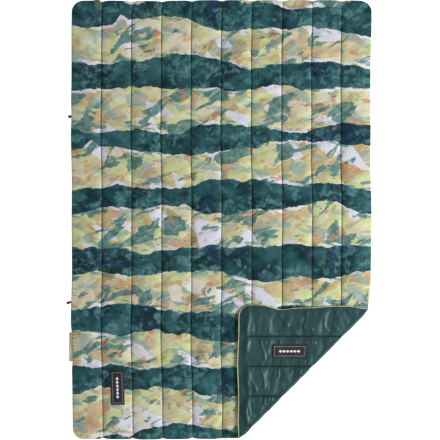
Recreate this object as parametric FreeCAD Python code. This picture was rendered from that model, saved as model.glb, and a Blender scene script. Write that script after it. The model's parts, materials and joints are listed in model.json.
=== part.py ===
import FreeCAD, Part
import math
import os

# Quilted camp blanket, lying on its lining with the lower right corner folded over onto the face.
# Millimetres. +Z is up, +Y runs along the quilted channels towards the hang loop, +X is across them.
# The origin is the centre of the underside of the whole object's box.
# The blanket is modelled flat, cut along the fold, and the corner is turned half a turn about the fold.

# Blanket
WIDTH = 1280.0
LENGTH = 1880.0
LOFT = 16.0
CHANNELS = 10
CORNER_RADIUS = 48.0
SHELL = 0.5
SEAM_HEIGHT = 4.0
SEAM_ALLOWANCE = 1.0
PIPING_RADIUS = 2.0
FLOOR_RUN = 25.0
END_RUN = 66.0
FILL_GAP = 0.1
EDGE_TRIM = 0.2

# Fold
FOLD_LEG = 570.0
FOLD_GAP = 0.6
FOLD_NOSE = 6.0
SPLIT_GAP = 0.15

# Thread
THREAD_WIDTH = 0.8
THREAD_HEIGHT = 0.4
THREAD_SEAT = 0.16
SEAM_END = 25.0

# Woven labels and tonal patches
LABEL_LENGTH = 146.0
LABEL_WIDTH = 58.0
LABEL_THICKNESS = 0.8
LABEL_FROM_BOTTOM = 222.0
LABEL_STITCH_INSET = 2.5
FACE_LABEL_CHANNEL = 1
LINING_LABEL_CHANNEL = 8
PATCH_LENGTH = 66.0
PATCH_WIDTH = 22.0
PATCH_THICKNESS = 0.4
PATCH_FROM_LABEL = 47.0
PATCH_SPACING = 72.0

# Loops and care label, placed from the panel's centre
TAPE = 1.0
TAPE_SLIT = 1.0
LOOP_CLEARANCE = 0.3
HANG_LOOP_X = -532.0
HANG_LOOP_WIDTH = 25.0
HANG_LOOP_REACH = 35.0
UPPER_LOOP_Y = 442.0
UPPER_LOOP_WIDTH = 12.0
UPPER_LOOP_REACH = 15.0
LOWER_LOOP_Y = -352.0
LOWER_LOOP_WIDTH = 11.0
LOWER_LOOP_REACH = 21.0
LOWER_LOOP_TILT = 16.0
CARE_LABEL_Y = -544.0
CARE_LABEL_WIDTH = 125.0
CARE_LABEL_REACH = 10.5
CARE_LABEL_THICKNESS = 0.6

# Derived places
HALF_WIDTH = WIDTH / 2
HALF_LENGTH = LENGTH / 2
PIPING = 2 * PIPING_RADIUS
CLOTH_X = HALF_WIDTH - PIPING
CLOTH_Y = HALF_LENGTH - PIPING
PITCH = WIDTH / CHANNELS
FOLD_HEIGHT = LOFT + FOLD_GAP / 2
FOLD_MIDDLE = (HALF_WIDTH - FOLD_LEG / 2, -HALF_LENGTH + FOLD_LEG / 2)
FOLD_HALF_LENGTH = FOLD_LEG / math.sqrt(2)
TAPE_HALF = TAPE + TAPE_SLIT / 2
BEYOND_FOLD = FOLD_NOSE - PIPING_RADIUS
PIPING_OVERHANG = BEYOND_FOLD / math.sqrt(2)
LOWER_LOOP_BEYOND = 23.5
PANEL_X = (LOWER_LOOP_BEYOND - PIPING_OVERHANG) / 2
PANEL_Y = (PIPING_OVERHANG - HANG_LOOP_REACH) / 2
TALL = 200.0
WIDE = 3000.0

UP = FreeCAD.Vector(0, 0, 1)
ALONG_FOLD = FreeCAD.Vector(1, 1, 0)


def vector(x, y, z):
    return FreeCAD.Vector(x, y, z)


def line(a, b):
    return Part.LineSegment(vector(*a), vector(*b)).toShape()


def arc(a, b, c):
    return Part.Arc(vector(*a), vector(*b), vector(*c)).toShape()


def prism(edges, direction):
    """Closed solid from a loop of edges moved along a vector."""
    return Part.Face(Part.Wire(edges)).extrude(direction)


def box(x0, x1, y0, y1, z0, z1):
    return Part.makeBox(x1 - x0, y1 - y0, z1 - z0, vector(x0, y0, z0))


def seam_x(k):
    """Where seam k lies; the first and last are the sewn side edges of the cloth."""
    return max(-CLOTH_X, min(CLOTH_X, -HALF_WIDTH + k * PITCH))


def rise(run, height):
    """Drop, half way along an arc that starts level and climbs a height over a run."""
    radius = (run**2 + height**2) / (2 * height)
    return radius - math.sqrt(radius**2 - (run / 2) ** 2)


def top_arc(at, a, b, seam_z, crest_z):
    """Crowned upper side of a channel from a to b."""
    return arc(at(a, seam_z), at((a + b) / 2, crest_z), at(b, seam_z))


def floor_edges(at, b, a, seam_z, floor_z):
    """Lower side of a channel from b back to a: down to the floor, flat, and up again."""
    half = rise(FLOOR_RUN, seam_z - floor_z)
    return [
        arc(at(b, seam_z), at(b - FLOOR_RUN / 2, floor_z + half), at(b - FLOOR_RUN, floor_z)),
        line(at(b - FLOOR_RUN, floor_z), at(a + FLOOR_RUN, floor_z)),
        arc(at(a + FLOOR_RUN, floor_z), at(a + FLOOR_RUN / 2, floor_z + half), at(a, seam_z)),
    ]


def channel_prism(k, side, inset):
    """What fills channel k, inset from the blanket's outer skin and from its two seams."""

    def at(x, z):
        return (x, -HALF_LENGTH, z)

    a = seam_x(k) + side
    b = seam_x(k + 1) - side
    edges = [top_arc(at, a, b, SEAM_HEIGHT, LOFT - inset)]
    edges += floor_edges(at, b, a, SEAM_HEIGHT, inset)
    return prism(edges, vector(0, LENGTH, 0))


def skin_prism(first, last):
    """Outer skin of the channels from first to last, as one solid."""

    def at(x, z):
        return (x, -HALF_LENGTH, z)

    high = SEAM_HEIGHT + SHELL
    low = SEAM_HEIGHT - SHELL
    channels = range(first, last + 1)
    edges = [top_arc(at, seam_x(k), seam_x(k + 1), high, LOFT) for k in channels]
    edges.append(line(at(seam_x(last + 1), high), at(seam_x(last + 1), low)))
    for k in reversed(channels):
        edges += floor_edges(at, seam_x(k + 1), seam_x(k), low, 0)
    edges.append(line(at(seam_x(first), low), at(seam_x(first), high)))
    return prism(edges, vector(0, LENGTH, 0))


def end_prism(inset):
    """The same pinching at the top and bottom edges, as a solid that every channel is cut to."""

    def at(y, z):
        return (-HALF_WIDTH, y, z)

    edge_y = CLOTH_Y - inset
    edge_half = max(SHELL - inset, 0)
    high = SEAM_HEIGHT + edge_half
    low = SEAM_HEIGHT - edge_half
    crest = LOFT + 1 - inset
    floor = inset - 1
    top_half = crest - rise(END_RUN, crest - high)
    floor_half = floor + rise(FLOOR_RUN, low - floor)
    shoulder = edge_y - END_RUN
    foot = edge_y - FLOOR_RUN
    edges = [
        arc(at(-edge_y, high), at(-shoulder - END_RUN / 2, top_half), at(-shoulder, crest)),
        line(at(-shoulder, crest), at(shoulder, crest)),
        arc(at(shoulder, crest), at(shoulder + END_RUN / 2, top_half), at(edge_y, high)),
    ]
    if high > low:
        edges.append(line(at(edge_y, high), at(edge_y, low)))
    edges += [
        arc(at(edge_y, low), at(foot + FLOOR_RUN / 2, floor_half), at(foot, floor)),
        line(at(foot, floor), at(-foot, floor)),
        arc(at(-foot, floor), at(-foot - FLOOR_RUN / 2, floor_half), at(-edge_y, low)),
    ]
    if high > low:
        edges.append(line(at(-edge_y, low), at(-edge_y, high)))
    return prism(edges, vector(WIDTH, 0, 0))


def outline_edges(half_x, half_y, radius, z):
    """Rounded rectangle, anticlockwise, of lines and quarter arcs."""
    bend = radius * (1 - math.sqrt(0.5))
    edges = []
    for sx, sy in ((1, 1), (-1, 1), (-1, -1), (1, -1)):
        side = (sx * half_x, sy * (half_y - radius), z)
        middle = (sx * (half_x - bend), sy * (half_y - bend), z)
        end = (sx * (half_x - radius), sy * half_y, z)
        start, stop = (side, end) if sx * sy > 0 else (end, side)
        if edges:
            before = edges[-1].lastVertex(True).Point
            edges.append(line(tuple(before), start))
        edges.append(arc(start, middle, stop))
    first = edges[0].firstVertex(True).Point
    last = edges[-1].lastVertex(True).Point
    edges.append(line(tuple(last), tuple(first)))
    return edges


def plan_prism(inset):
    """The cloth's outline, just inside the pinched edges, as an upright solid."""
    edge = inset + EDGE_TRIM
    edges = outline_edges(CLOTH_X - edge, CLOTH_Y - edge, CORNER_RADIUS - PIPING - edge, -TALL / 2)
    return prism(edges, vector(0, 0, TALL))


def cut_to_blanket(shape, inset):
    return shape.common(end_prism(inset)).common(plan_prism(inset))


def shells():
    """Printed face and plain lining of the flat blanket, sewn to each other at every seam."""
    skin = cut_to_blanket(skin_prism(0, CHANNELS - 1), 0)
    for k in range(CHANNELS):
        cavity = channel_prism(k, SEAM_ALLOWANCE, SHELL)
        skin = skin.cut(cut_to_blanket(cavity, SHELL))
    upper = box(-WIDE, WIDE, -WIDE, WIDE, SEAM_HEIGHT, TALL)
    return skin.common(upper), skin.cut(upper)


def channel_fill(k):
    """Insulation of one channel."""
    inset = SHELL + FILL_GAP
    return cut_to_blanket(channel_prism(k, 2 * SEAM_ALLOWANCE, inset), inset)


def piping():
    """Round piping sewn into the seam all the way round the flat blanket."""
    half_x = HALF_WIDTH - PIPING_RADIUS
    half_y = HALF_LENGTH - PIPING_RADIUS
    radius = CORNER_RADIUS - PIPING_RADIUS
    path = outline_edges(half_x, half_y, radius, SEAM_HEIGHT)
    runs = []
    for edge in path:
        start = edge.firstVertex(True).Point
        along = edge.tangentAt(edge.FirstParameter)
        ring = Part.Wire(Part.makeCircle(PIPING_RADIUS, start, along))
        runs.append(Part.Wire(edge).makePipeShell([ring], True, False))
    whole = runs[0]
    for run in runs[1:]:
        whole = whole.fuse(run)
    return whole.removeSplitter()


def quilting_thread():
    """Needle thread on the face and bobbin thread on the lining of each quilting seam."""
    half = CLOTH_Y - SEAM_END
    threads = []
    for k in range(1, CHANNELS):
        x0 = seam_x(k) - THREAD_WIDTH / 2
        x1 = x0 + THREAD_WIDTH
        top = SEAM_HEIGHT + SHELL + THREAD_SEAT
        bottom = SEAM_HEIGHT - SHELL - THREAD_SEAT
        threads.append(box(x0, x1, -half, half, top, top + THREAD_HEIGHT))
        threads.append(box(x0, x1, -half, half, bottom - THREAD_HEIGHT, bottom))
    return Part.makeCompound(threads)


def sheet_on_skin(k, low, high, region):
    """Thin sheet that follows channel k's skin from one height above it to another; negative is below."""
    skin = skin_prism(k, k)
    near = skin.translated(vector(0, 0, low))
    far = skin.translated(vector(0, 0, high))
    return far.cut(near).common(region)


def label_region(k, y, width, length):
    x = -HALF_WIDTH + (k + 0.5) * PITCH
    return box(x - width / 2, x + width / 2, y - length / 2, y + length / 2, -TALL, TALL)


def label(k, side):
    """Woven label centred on channel k, and the thread that sews it down; side is 1 on the face."""
    y = -HALF_LENGTH + LABEL_FROM_BOTTOM
    half = box(-WIDE, WIDE, -WIDE, WIDE, SEAM_HEIGHT, TALL)
    if side < 0:
        half = box(-WIDE, WIDE, -WIDE, WIDE, -TALL, SEAM_HEIGHT)
    region = label_region(k, y, LABEL_WIDTH, LABEL_LENGTH).common(half)
    inner = 2 * (LABEL_STITCH_INSET + THREAD_WIDTH)
    outer = 2 * LABEL_STITCH_INSET
    ring = label_region(k, y, LABEL_WIDTH - outer, LABEL_LENGTH - outer).common(half)
    ring = ring.cut(label_region(k, y, LABEL_WIDTH - inner, LABEL_LENGTH - inner))
    top = LABEL_THICKNESS
    patch = sheet_on_skin(k, 0, side * top, region)
    thread = sheet_on_skin(k, side * top, side * (top + THREAD_HEIGHT), ring)
    return patch, thread


def tonal_patches():
    """Two small patches of lining cloth sewn beside the lining's label."""
    label_x = -HALF_WIDTH + (LINING_LABEL_CHANNEL + 0.5) * PITCH
    x = label_x - PATCH_FROM_LABEL
    y = -HALF_LENGTH + LABEL_FROM_BOTTOM
    patches = []
    for way in (-1, 1):
        middle = y + way * PATCH_SPACING / 2
        region = box(
            x - PATCH_WIDTH / 2,
            x + PATCH_WIDTH / 2,
            middle - PATCH_LENGTH / 2,
            middle + PATCH_LENGTH / 2,
            -TALL,
            SEAM_HEIGHT,
        )
        patches.append(sheet_on_skin(LINING_LABEL_CHANNEL, 0, -PATCH_THICKNESS, region))
    return Part.makeCompound(patches)


def stadium(x0, x1, half, width):
    """Solid with two round ends in the XZ plane, from end centre x0 to end centre x1, width along Y."""
    y = -width / 2
    edges = [
        line((x0, y, half), (x1, y, half)),
        arc((x1, y, half), (x1 + half, y, 0), (x1, y, -half)),
        line((x1, y, -half), (x0, y, -half)),
        arc((x0, y, -half), (x0 - half, y, 0), (x0, y, half)),
    ]
    return prism(edges, vector(0, width, 0))


def tape_loop(width, reach):
    """Tape folded double, from its round root beside the piping out to a reach; +X is outwards."""
    root = LOOP_CLEARANCE + TAPE_HALF
    loop = stadium(root, reach - TAPE_HALF, TAPE_HALF, width)
    slit = stadium(root + 2 * TAPE, reach - TAPE_HALF, TAPE_SLIT / 2, 2 * width)
    return loop.cut(slit)


def care_label():
    half = CARE_LABEL_THICKNESS / 2
    root = LOOP_CLEARANCE + half
    return stadium(root, CARE_LABEL_REACH - half, half, CARE_LABEL_WIDTH)


def tilt_room(tilt, width):
    """How far a root of some width comes back towards the edge when it is tilted."""
    return math.sin(math.radians(abs(tilt))) * width / 2


def at_left_edge(shape, y, tilt=0.0, width=0.0):
    """Points a loop drawn along +X out of the left edge; a tilted one moves out to clear the piping."""
    placed = shape.copy()
    root = vector(LOOP_CLEARANCE + TAPE_HALF, 0, 0)
    placed.rotate(root, UP, tilt)
    placed.translate(vector(tilt_room(tilt, width), 0, 0))
    placed.rotate(vector(0, 0, 0), UP, 180)
    placed.translate(vector(-HALF_WIDTH, y, SEAM_HEIGHT))
    return placed


def at_top_edge(shape, x):
    placed = shape.copy()
    placed.rotate(vector(0, 0, 0), UP, 90)
    placed.translate(vector(x, HALF_LENGTH, SEAM_HEIGHT))
    return placed


def into_fold_frame(shape):
    """Places a shape drawn with X across the fold, Y along it and Z from its axis."""
    placed = shape.copy()
    placed.rotate(vector(0, 0, 0), UP, -45)
    placed.translate(vector(*FOLD_MIDDLE, FOLD_HEIGHT))
    return placed


def main_side(shape):
    side = into_fold_frame(box(-WIDE, -SPLIT_GAP, -WIDE, WIDE, -TALL, TALL))
    return shape.common(side)


def corner_side(shape):
    """The part of a flat shape beyond the fold, turned over onto the face."""
    side = into_fold_frame(box(SPLIT_GAP, WIDE, -WIDE, WIDE, -TALL, TALL))
    turned = shape.common(side)
    turned.rotate(vector(*FOLD_MIDDLE, FOLD_HEIGHT), ALONG_FOLD, 180)
    return turned


def nose_edges(inset, y):
    """Cross-section of the fold: a blunt nose from the underside round to the flap's top."""
    h = FOLD_HEIGHT - inset
    nose = FOLD_NOSE - inset
    bend = nose * (1 - math.sqrt(0.5))
    return [
        arc((0, y, -h), (nose - bend, y, -h + bend), (nose, y, -h + nose)),
        line((nose, y, -h + nose), (nose, y, h - nose)),
        arc((nose, y, h - nose), (nose - bend, y, h - bend), (0, y, h)),
        line((0, y, h), (0, y, -h)),
    ]


def fold_pieces():
    """Lining, insulation and face where they turn round the fold."""
    half = FOLD_HALF_LENGTH - PIPING * math.sqrt(2)
    along = vector(0, 2 * half, 0)
    outside = prism(nose_edges(0, -half), along)
    inside = prism(nose_edges(SHELL, -half), along)
    lining = outside.cut(inside).common(box(0, WIDE, -WIDE, WIDE, -TALL, TALL))
    axis = vector(0, 1, 0)
    start = vector(0, -half, 0)
    beyond = box(0, WIDE, -WIDE, WIDE, -TALL, TALL)
    turn = FOLD_GAP / 2 + SHELL
    face = Part.makeCylinder(turn, 2 * half, start, axis)
    face = face.cut(Part.makeCylinder(FOLD_GAP / 2, 2 * half, start, axis)).common(beyond)
    fill = prism(nose_edges(SHELL + FILL_GAP, -half), along)
    fill = fill.cut(Part.makeCylinder(turn + FILL_GAP, 2 * half, start, axis))
    return [into_fold_frame(piece) for piece in (lining, fill, face)]


def piping_fold():
    """The two short lengths of piping that climb round the fold at the blanket's edges."""
    h = FOLD_HEIGHT - SEAM_HEIGHT
    nose = FOLD_NOSE - PIPING_RADIUS
    bend = nose * (1 - math.sqrt(0.5))
    pieces = []
    for end in (-1, 1):
        y = end * (FOLD_HALF_LENGTH - PIPING_RADIUS * math.sqrt(2))
        path = Part.Wire(
            [
                arc((0, y, -h), (nose - bend, y, -h + bend), (nose, y, -h + nose)),
                line((nose, y, -h + nose), (nose, y, h - nose)),
                arc((nose, y, h - nose), (nose - bend, y, h - bend), (0, y, h)),
            ]
        )
        ring = Part.Wire(Part.makeCircle(PIPING_RADIUS, vector(0, y, -h), vector(1, 0, 0)))
        pieces.append(into_fold_frame(path.makePipeShell([ring], True, False)))
    return Part.makeCompound(pieces)


def all_nodes():
    """Every node's name and shape, about the panel's centre."""
    nodes = {}
    face, lining = shells()
    quilting = quilting_thread()
    edge = piping()
    nodes["face_shell"] = main_side(face)
    nodes["face_shell_corner"] = corner_side(face)
    nodes["lining_shell"] = main_side(lining)
    nodes["lining_shell_corner"] = corner_side(lining)
    for k in range(CHANNELS):
        fill = channel_fill(k)
        nodes[f"channel_fill_{k + 1:02d}"] = main_side(fill)
        if seam_x(k + 1) > HALF_WIDTH - FOLD_LEG:
            nodes[f"channel_fill_{k + 1:02d}_corner"] = corner_side(fill)
    nodes["quilting_thread"] = main_side(quilting)
    nodes["quilting_thread_corner"] = corner_side(quilting)
    nodes["edge_piping"] = main_side(edge)
    nodes["edge_piping_corner"] = corner_side(edge)
    nodes["lining_shell_fold"], nodes["insulation_fold"], nodes["face_shell_fold"] = fold_pieces()
    nodes["edge_piping_fold"] = piping_fold()
    nodes["face_label"], nodes["face_label_thread"] = label(FACE_LABEL_CHANNEL, 1)
    patch, thread = label(LINING_LABEL_CHANNEL, -1)
    nodes["lining_label"] = corner_side(patch)
    nodes["lining_label_thread"] = corner_side(thread)
    nodes["tonal_patches"] = corner_side(tonal_patches())
    nodes["hang_loop"] = at_top_edge(tape_loop(HANG_LOOP_WIDTH, HANG_LOOP_REACH), HANG_LOOP_X)
    nodes["side_loop_upper"] = at_left_edge(tape_loop(UPPER_LOOP_WIDTH, UPPER_LOOP_REACH), UPPER_LOOP_Y)
    lower = tape_loop(LOWER_LOOP_WIDTH, LOWER_LOOP_REACH)
    nodes["side_loop_lower"] = at_left_edge(lower, LOWER_LOOP_Y, LOWER_LOOP_TILT, LOWER_LOOP_WIDTH)
    nodes["care_label"] = at_left_edge(care_label(), CARE_LABEL_Y)
    return nodes


def main():
    os.makedirs("parts", exist_ok=True)
    for name, shape in all_nodes().items():
        shape.translate(vector(PANEL_X, PANEL_Y, 0))
        solids = shape.Solids
        node = solids[0] if len(solids) == 1 else Part.makeCompound(solids)
        node.exportStep(f"parts/{name}.step")
        b = node.BoundBox
        print(
            f"{name:26s} solids {len(solids):2d} valid {node.isValid()} volume {node.Volume:12.1f}"
            f"  x {b.XMin:8.2f} {b.XMax:8.2f}  y {b.YMin:8.2f} {b.YMax:8.2f}  z {b.ZMin:6.2f} {b.ZMax:6.2f}"
        )


main()
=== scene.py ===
import json
import math

import bmesh
import bpy
import numpy as np
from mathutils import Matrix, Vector


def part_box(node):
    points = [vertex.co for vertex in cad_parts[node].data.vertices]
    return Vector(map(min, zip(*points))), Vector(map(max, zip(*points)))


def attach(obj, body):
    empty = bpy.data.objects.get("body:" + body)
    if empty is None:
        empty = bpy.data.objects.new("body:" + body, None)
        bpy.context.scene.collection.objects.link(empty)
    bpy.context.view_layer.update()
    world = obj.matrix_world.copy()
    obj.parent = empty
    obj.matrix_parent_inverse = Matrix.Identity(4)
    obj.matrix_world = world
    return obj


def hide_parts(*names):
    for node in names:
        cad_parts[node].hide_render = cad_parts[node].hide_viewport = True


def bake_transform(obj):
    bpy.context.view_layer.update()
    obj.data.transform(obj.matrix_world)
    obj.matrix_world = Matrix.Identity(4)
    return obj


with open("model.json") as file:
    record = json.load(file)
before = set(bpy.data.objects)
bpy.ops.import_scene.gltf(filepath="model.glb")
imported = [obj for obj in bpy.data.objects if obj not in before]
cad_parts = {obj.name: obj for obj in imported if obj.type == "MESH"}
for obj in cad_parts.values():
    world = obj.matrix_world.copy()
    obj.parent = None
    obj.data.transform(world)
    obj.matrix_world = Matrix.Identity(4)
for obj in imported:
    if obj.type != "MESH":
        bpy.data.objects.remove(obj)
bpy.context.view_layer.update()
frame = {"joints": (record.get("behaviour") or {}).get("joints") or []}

# The camp blanket's looks: printed face, green lining, quilting, piping, labels and loops.
# Metres. "Panel places" (u, v) are measured from the middle of the blanket as it was cut, lying open
# and flat. The corner is built open as well, and then turned half a turn about the fold.

# ---------------------------------------------------------------- places from the frame

PIPE_LOW, PIPE_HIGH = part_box("edge_piping")
FACE_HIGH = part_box("face_shell")[1]
CENTRE_X = (PIPE_LOW.x + PIPE_HIGH.x) / 2
CENTRE_Y = (PIPE_LOW.y + PIPE_HIGH.y) / 2
SEAM_Z = (PIPE_LOW.z + PIPE_HIGH.z) / 2
PIPE_RADIUS = (PIPE_HIGH.z - PIPE_LOW.z) / 2
HALF_W = (PIPE_HIGH.x - PIPE_LOW.x) / 2
HALF_L = (PIPE_HIGH.y - PIPE_LOW.y) / 2
LOFT = FACE_HIGH.z
JOINTS = {joint["name"]: joint for joint in frame["joints"]}
HINGE = Vector(JOINTS["corner_fold"]["pos_m"])
FOLD = (HINGE.x - CENTRE_X) - (HINGE.y - CENTRE_Y)  # u - v along the fold line
OUTWARD = Vector((math.sqrt(0.5), -math.sqrt(0.5), 0.0))  # past the fold, seen from above

# ---------------------------------------------------------------- driving sizes

CHANNELS = 10
CHANNEL = 2 * HALF_W / CHANNELS
CLOTH_INSET = 0.003
CLOTH_U = HALF_W - CLOTH_INSET
CLOTH_V = HALF_L - CLOTH_INSET
CLOTH_ROUND = 0.045
PIPE_INSET = PIPE_RADIUS
PIPE_ROUND = 0.046
PIPE_STEP = 0.005
TUBE_SIDES = 10
PIPE_TURN_OUT = 0.0015
PIPE_TURN_RISE = 0.0012
LAYER = 0.0005
CROWN_FALL = 2.6
CROWN_ROUND = 0.50
EDGE_RUN = 0.065
FLOOR_RUN = 0.03
OVERHANG = 0.0115
OVERHANG_RUN = 0.016
FLAP_SEAM_Z = 0.0078
FLAP_DROOP = 0.006
FOOT_LIFT = 0.0035  # how much less the corner's foot edge droops near its middle
FOOT_SINK = 0.0065  # how deep that edge sinks into the face below
HEM_TALL = 0.0070
HEM_HALF = 0.0105
HEM_FROM_EDGE = 0.038
FOLD_CLOTH = 0.012  # length of cloth taken as going round the fold, for its weave
NOSE = 0.0075
SEAM_END = 0.012
TAPE_THICK = 0.0010


def steps(*values):
    """Distances given in millimetres, as metres."""
    return np.array(values) / 1000.0


SEAM_STEPS = steps(0, 0.8, 2, 4, 7, 11, 17, 26, 38, 51)
EDGE_STEPS = steps(0, 0.3, 0.8, 2, 4, 7, 11, 17, 26, 38, 51)


def placed(name, data):
    """A new object in the scene."""
    thing = bpy.data.objects.new(name, data)
    bpy.context.scene.collection.objects.link(thing)
    return thing


# ---------------------------------------------------------------- cloth simulation


def blur(values, spread, axis):
    """Gaussian blur of an array along one axis; spread is in cells."""
    reach = int(3 * spread) + 1
    kernel = np.exp(-0.5 * (np.arange(-reach, reach + 1) / spread) ** 2)
    kernel /= kernel.sum()
    pad = [(0, 0), (0, 0)]
    pad[axis] = (reach, reach)
    padded = np.pad(values, pad, mode="edge")
    return np.apply_along_axis(lambda line: np.convolve(line, kernel, "valid"), axis, padded)


class Field:
    """Heights on a regular grid of panel places, read smoothly in between."""

    def __init__(self, u0, v0, cell, values):
        self.u0, self.v0, self.cell, self.values = u0, v0, cell, values

    def __call__(self, u, v):
        rows, columns = self.values.shape
        x = np.clip((u - self.u0) / self.cell, 0, columns - 1.001)
        y = np.clip((v - self.v0) / self.cell, 0, rows - 1.001)
        column, row = np.floor(x).astype(int), np.floor(y).astype(int)
        total = 0.0
        for i, weight_y in enumerate(cubic(y - row)):
            for j, weight_x in enumerate(cubic(x - column)):
                r = np.clip(row + i - 1, 0, rows - 1)
                c = np.clip(column + j - 1, 0, columns - 1)
                total = total + weight_y * weight_x * self.values[r, c]
        return total


def cubic(t):
    """The four Catmull-Rom weights."""
    return (
        0.5 * (-t + 2 * t**2 - t**3),
        0.5 * (2 - 5 * t**2 + 3 * t**3),
        0.5 * (t + 4 * t**2 - 3 * t**3),
        0.5 * (-(t**2) + t**3),
    )


def simulated(u_range, v_range, cell, held, slack, bending, seed, soften=0.8):
    """Cloth sewn down where held(u, v) is true, with slack to spare and air under it.

    Returns the puckers that it makes, as a Field without the even swell of the channels."""
    columns = int(round((u_range[1] - u_range[0]) / cell)) + 1
    rows = int(round((v_range[1] - v_range[0]) / cell)) + 1
    us = u_range[0] + cell * np.arange(columns)
    vs = v_range[0] + cell * np.arange(rows)
    u, v = np.meshgrid(us, vs)
    start = np.random.default_rng(seed).normal(0, 1, u.shape)
    start = blur(blur(start, 2.0, 0), 3.0, 1)
    start *= 0.0012 / start.std()
    pinned = held(u, v)
    start[pinned] = 0.0
    index = np.arange(rows * columns).reshape(rows, columns)
    quads = np.stack([index[:-1, :-1], index[:-1, 1:], index[1:, 1:], index[1:, :-1]], -1)
    mesh = bpy.data.meshes.new("cloth")
    mesh.from_pydata(np.stack([u, v, start], -1).reshape(-1, 3).tolist(), [], quads.reshape(-1, 4).tolist())
    cloth = placed("cloth", mesh)
    group = cloth.vertex_groups.new(name="sewn")
    group.add(np.flatnonzero(pinned.ravel()).tolist(), 1.0, "REPLACE")
    modifier = cloth.modifiers.new("Cloth", "CLOTH")
    settings = modifier.settings
    settings.quality = 4
    settings.mass = 0.15
    settings.tension_stiffness = 12
    settings.compression_stiffness = 12
    settings.shear_stiffness = 4
    settings.bending_stiffness = bending
    settings.use_pressure = True
    settings.uniform_pressure_force = 4
    settings.vertex_group_mass = "sewn"
    settings.shrink_min = -slack
    settings.effector_weights.gravity = 0
    modifier.collision_settings.use_collision = False
    modifier.point_cache.frame_start = 1
    modifier.point_cache.frame_end = 20
    for number in range(1, 21):
        bpy.context.scene.frame_set(number)
    posed = cloth.evaluated_get(bpy.context.evaluated_depsgraph_get())
    places = np.zeros(rows * columns * 3)
    posed.data.vertices.foreach_get("co", places)
    height = places.reshape(rows, columns, 3)[..., 2]
    bpy.data.objects.remove(cloth)
    bpy.context.scene.frame_set(1)
    puckers = blur(blur(height, soften, 0), soften, 1) - blur(height, 0.06 / cell, 0)
    return Field(us[0], vs[0], cell, np.clip(puckers, -0.004, 0.004))


# ---------------------------------------------------------------- the quilt's shape


def label_place(node):
    """A label's middle in panel places, and half its length along v and half its width along u."""
    low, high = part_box(node)
    x, y = (low.x + high.x) / 2 - CENTRE_X, (low.y + high.y) / 2 - CENTRE_Y
    if node != "face_label":
        return y + FOLD, x - FOLD, (high.x - low.x) / 2, (high.y - low.y) / 2
    return x, y, (high.y - low.y) / 2, (high.x - low.x) / 2


CALM_PLACES = (label_place("lining_label"), label_place("tonal_patches"))


def seam_distance(u):
    """How far a place is from the nearest quilting seam."""
    place = (u + HALF_W) / CHANNEL
    nearest = np.clip(np.round(place), 1, CHANNELS - 1)
    return np.abs(place - nearest) * CHANNEL


def edge_distance(u, v):
    """How far inside the rounded outline a place is."""
    x = np.abs(u) - (CLOTH_U - CLOTH_ROUND)
    y = np.abs(v) - (CLOTH_V - CLOTH_ROUND)
    outside = np.hypot(np.maximum(x, 0), np.maximum(y, 0))
    return CLOTH_ROUND - outside - np.minimum(np.maximum(x, y), 0)


def edge_normal(u, v):
    """The way out of the panel, square to its outline."""
    x = np.maximum(np.abs(u) - (CLOTH_U - CLOTH_ROUND), 1e-9)
    y = np.maximum(np.abs(v) - (CLOTH_V - CLOTH_ROUND), 1e-9)
    length = np.hypot(x, y)
    return np.sign(u) * x / length, np.sign(v) * y / length


def fold_distance(u, v):
    """How far a place is from the fold line, on either side."""
    return np.abs(u - v - FOLD) * math.sqrt(0.5)


def ease(t):
    """0 to 1 with soft ends."""
    t = np.clip(t, 0, 1)
    return t * t * (3 - 2 * t)


def bell(t):
    """1 at nothing, and fading to 0 on both sides."""
    return np.exp(-(t**2))


def crown(t):
    """A pillow's side: steep beside the seam and flat in the middle."""
    return (1 - (1 - np.clip(t, 0, 1)) ** CROWN_FALL) ** CROWN_ROUND


def swell(u, v):
    """0 on a seam or an edge, and 1 in the middle of a channel."""
    return crown(seam_distance(u) / (CHANNEL / 2)) * crown(edge_distance(u, v) / EDGE_RUN)


def droop(u, v):
    """How much the free edges of the corner hang down onto the blanket."""
    lifted = FOOT_LIFT * bell((u - 0.40) / 0.10) * ease(1 - (CLOTH_V + v) / 0.25)
    return FLAP_DROOP * ease(fold_distance(u, v) / 0.14) - lifted


def pressed(u, v):
    """How deep the folded corner's foot edge sinks into the face below it."""
    edge = FOLD - CLOTH_V
    along = ease((v + CLOTH_V - 0.03) / 0.08) * ease((CLOTH_U - FOLD - v) / 0.06 + 0.5)
    return FOOT_SINK * bell((u - edge + 0.002) / 0.013) * along


def face_height(u, v, on_corner=False):
    """Height of the printed face, with the blanket open."""
    base = SEAM_Z + LAYER
    if on_corner:
        base = base + droop(u, v)
    puff = swell(u, v)
    height = base + (LOFT - 0.0012 - base) * puff
    height = height + FACE_PUCKERS(u, v) * puff * 0.9
    if not on_corner:
        height = height - pressed(u, v) * puff
    return np.minimum(height, LOFT - 0.0002)


def lining_height(u, v):
    """Height of the lining where it lies on the floor."""
    rise = crown(seam_distance(u) / FLOOR_RUN) * crown(edge_distance(u, v) / FLOOR_RUN)
    return (SEAM_Z - LAYER) * (1 - rise) + 0.0001


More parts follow.
